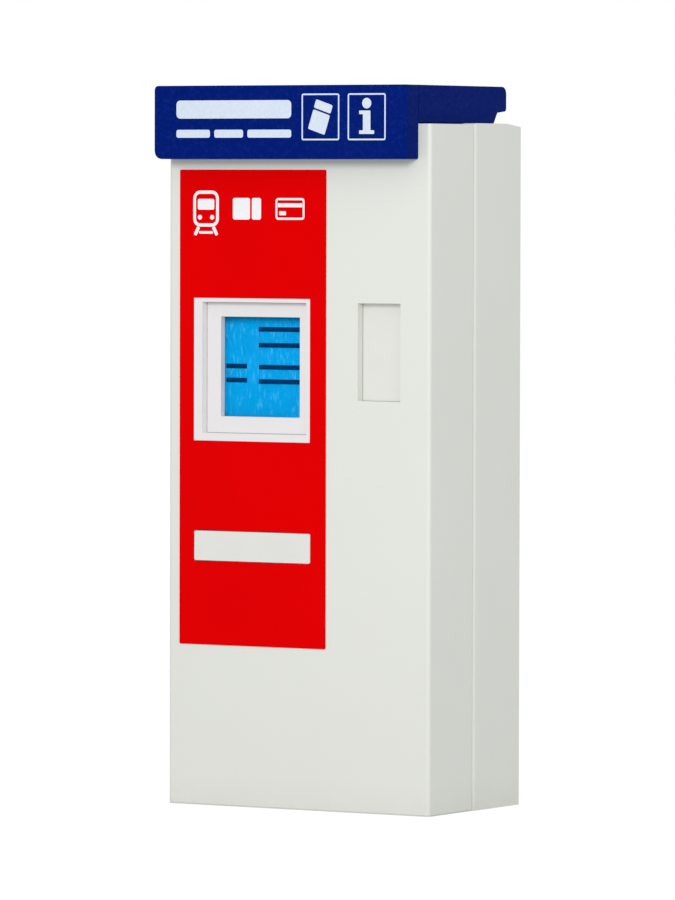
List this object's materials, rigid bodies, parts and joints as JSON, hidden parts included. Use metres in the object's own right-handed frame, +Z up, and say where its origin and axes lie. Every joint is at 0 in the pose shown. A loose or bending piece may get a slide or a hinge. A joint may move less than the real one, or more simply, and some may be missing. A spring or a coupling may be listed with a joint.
{
  "type": "ticket vending machine",
  "caption": "Floor-standing self-service ticket machine: pale steel cabinet with a hinged front, blue sign header, red fascia with recessed touch screen, ticket flap and payment recess.",
  "frame": {"origin": "on the floor under the middle of the body's width and depth", "axes": "+Z up, -Y towards the user at the front, +X to the user's right"},
  "size_m": [0.8645, 0.5553, 2],
  "materials": {
    "pale_paint": "satin powder coat, pale warm grey",
    "red_panel": "satin red enamel on sheet",
    "blue_moulding": "satin dark blue moulded shell",
    "blue_face": "satin dark blue acrylic sheet",
    "light_panel": "white diffuser",
    "white_plastic": "fine-grained white moulding",
    "screen_glass": "clear hardened glass",
    "display": "lit display, blue ground",
    "zinc_steel": "zinc plated sheet",
    "bright_steel": "bright drawn steel",
    "brass": "turned",
    "black_plastic": "black moulding",
    "grey_rubber": "matt",
    "paper": "uncoated ticket stock"
  },
  "bodies": {
    "cabinet": {"base_frame": "zinc_steel", "cable_gland": "black_plastic", "cabinet_shell": "pale_paint", "cabinet_back": "pale_paint", "door_gasket": "grey_rubber", "roof_canopy": "blue_moulding", "hinge_pin_half_lower": "zinc_steel", "hinge_pin_half_middle": "zinc_steel", "hinge_pin_half_upper": "zinc_steel", "hinge_washer_lower": "brass", "hinge_washer_middle": "brass", "hinge_washer_upper": "brass", "bolt_keep_upper": "zinc_steel", "bolt_keep_lower": "zinc_steel", "equipment_plate": "zinc_steel", "printer_shelf": "zinc_steel", "printer_frame": "zinc_steel", "roll_spindle": "zinc_steel", "ticket_paper": "paper", "print_head": "black_plastic", "ticket_cutter": "zinc_steel", "controller_box": "zinc_steel", "fan_housing": "black_plastic", "power_supply": "zinc_steel", "modem_box": "black_plastic", "mains_box": "pale_paint"},
    "door": {"door_shell": "pale_paint", "hinge_door_half_lower": "zinc_steel", "hinge_door_half_middle": "zinc_steel", "hinge_door_half_upper": "zinc_steel", "red_fascia": "red_panel", "sign_box": "blue_moulding", "sign_light": "light_panel", "sign_face": "blue_face", "sign_bolt_1": "bright_steel", "sign_bolt_2": "bright_steel", "screen_surround": "white_plastic", "screen_mask": "white_plastic", "touch_glass": "screen_glass", "display_panel": "display", "display_housing": "zinc_steel", "payment_sleeve": "pale_paint", "reader_cover": "white_plastic", "card_reader": "black_plastic", "ticket_tray": "zinc_steel", "flap_pin": "bright_steel", "ticket_chute": "zinc_steel", "lock_case": "zinc_steel", "lock_motor": "black_plastic", "bolt_guide_upper": "black_plastic", "bolt_guide_lower": "black_plastic"},
    "flap": {"ticket_flap": "white_plastic"},
    "upper_bolt": {"lock_bolt_upper": "bright_steel"},
    "lower_bolt": {"lock_bolt_lower": "bright_steel"},
    "pinion": {"lock_pinion": "bright_steel"},
    "roll": {"paper_roll": "paper"},
    "platen": {"platen_roller": "grey_rubber"},
    "fan": {"fan_rotor": "black_plastic"},
    "switch": {"mains_switch": "black_plastic"}
  },
  "joints": [
    {"name": "door_hinge", "type": "hinge", "parent": "cabinet", "child": "door", "pos_m": [-0.4325, -0.012, 0.95], "axis": [0, 0, -1], "range_deg": [0, 110]},
    {"name": "flap_hinge", "type": "hinge", "parent": "door", "child": "flap", "pos_m": [-0.15, -0.238, 0.76], "axis": [1, 0, 0], "range_deg": [0, 65]},
    {"name": "upper_bolt_slide", "type": "slide", "parent": "door", "child": "upper_bolt", "axis": [0, 0, 1], "range_m": [0, 0.022]},
    {"name": "lower_bolt_slide", "type": "slide", "parent": "door", "child": "lower_bolt", "axis": [0, 0, -1], "range_m": [0, 0.022]},
    {"name": "pinion_turn", "type": "hinge", "parent": "door", "child": "pinion", "pos_m": [0.352, -0.06, 0.95], "axis": [0, 1, 0], "range_deg": [0, 105.1]},
    {"name": "roll_spin", "type": "hinge", "parent": "cabinet", "child": "roll", "pos_m": [-0.15, 0.125, 1], "axis": [1, 0, 0], "continuous": true},
    {"name": "platen_spin", "type": "hinge", "parent": "cabinet", "child": "platen", "pos_m": [-0.15, 0.018, 0.92], "axis": [1, 0, 0], "continuous": true},
    {"name": "fan_spin", "type": "hinge", "parent": "cabinet", "child": "fan", "pos_m": [0.09, 0.1363, 1.395], "axis": [0, 1, 0], "continuous": true},
    {"name": "switch_lever", "type": "hinge", "parent": "cabinet", "child": "switch", "pos_m": [0.2, 0.178, 0.47], "axis": [1, 0, 0], "range_deg": [0, 50]}
  ],
  "couplings": [
    {"joint": "pinion_turn", "follows": "upper_bolt_slide", "rad_per_m": 83.333},
    {"joint": "lower_bolt_slide", "follows": "upper_bolt_slide", "ratio": 1},
    {"joint": "platen_spin", "follows": "roll_spin", "ratio": -7.7778}
  ]
}
